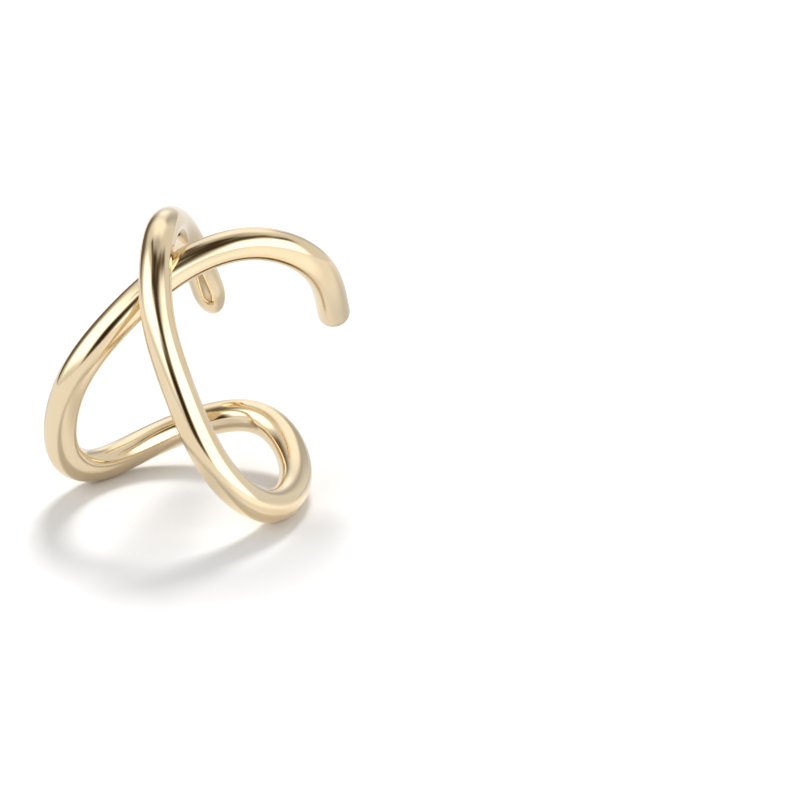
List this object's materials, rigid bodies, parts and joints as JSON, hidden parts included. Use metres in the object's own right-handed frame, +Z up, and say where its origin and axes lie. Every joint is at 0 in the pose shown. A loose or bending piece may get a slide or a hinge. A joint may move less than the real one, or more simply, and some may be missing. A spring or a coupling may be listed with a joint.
{
  "type": "ear cuff",
  "caption": "Criss-cross ear cuff bent from a single round polished gold-coloured wire, open at the front, with its strands crossing at the back and rounded tips.",
  "frame": {"origin": "on the surface the cuff lies on, under the middle of its box", "axes": "+Z up, +X along the ear's rim that the cuff grips, +Y out of the cuff's open side"},
  "size_m": [0.01, 0.0114, 0.0116],
  "materials": {
    "gold_wire": "polished pale gold plating over brass"
  },
  "bodies": {
    "root": {"cuff_wire": "gold_wire"}
  },
  "joints": []
}
